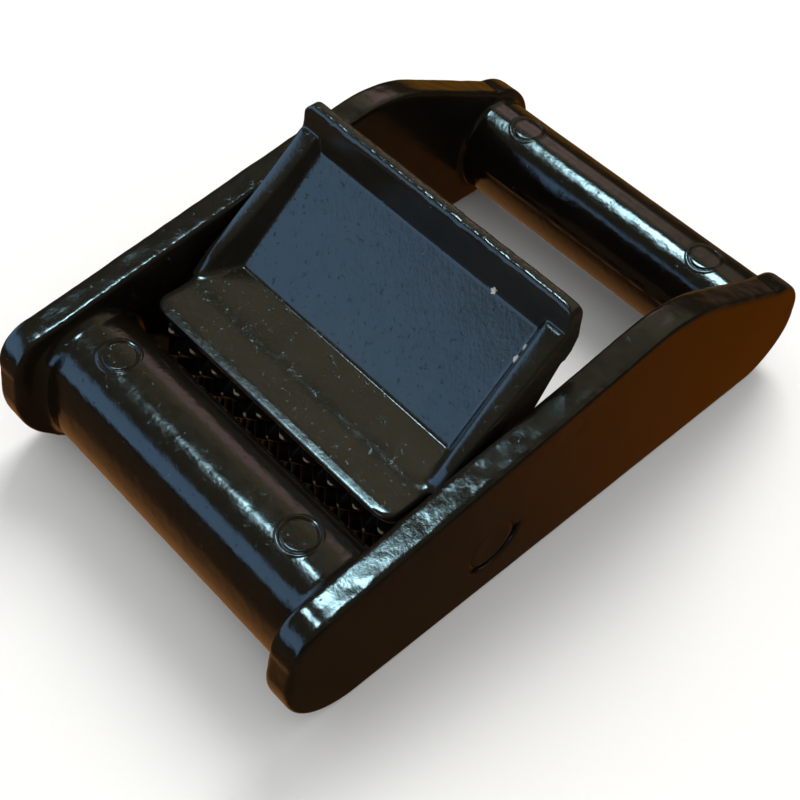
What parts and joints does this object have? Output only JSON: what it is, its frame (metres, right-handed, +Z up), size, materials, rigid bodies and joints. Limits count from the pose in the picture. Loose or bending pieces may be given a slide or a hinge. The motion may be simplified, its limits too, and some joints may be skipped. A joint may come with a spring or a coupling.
{
  "type": "cam buckle",
  "caption": "Cast webbing cam buckle: a frame with a bar at each end and a toothed, sprung cam lever that clamps the strap.",
  "frame": {"origin": "centre of the bounding box, on the plane of the side plates' flat bottom edges", "axes": "+X along the pivot pin, +Y from the front clamping bar to the rear anchor bar, +Z up from the flat bottom towards the thumb tray"},
  "size_m": [0.0318, 0.052, 0.0211],
  "materials": {
    "frame_paint": "gloss black coat over a zinc casting",
    "lever_paint": "gloss black coat over a zinc casting",
    "pin_steel": "dark blackened steel",
    "spring_steel": "drawn stainless wire"
  },
  "bodies": {
    "frame": {"frame": "frame_paint", "pivot_pin": "pin_steel", "spring_left": "spring_steel", "spring_right": "spring_steel"},
    "cam": {"cam_lever": "lever_paint"}
  },
  "joints": [
    {"name": "cam_hinge", "type": "hinge", "parent": "frame", "child": "cam", "pos_m": [0, -0.008, 0.00565], "axis": [-1, 0, 0], "range_deg": [0, 42], "stiffness_Nm_per_rad": 0.054, "springref_deg": -68.75, "deforming": ["spring_left", "spring_right"]}
  ]
}
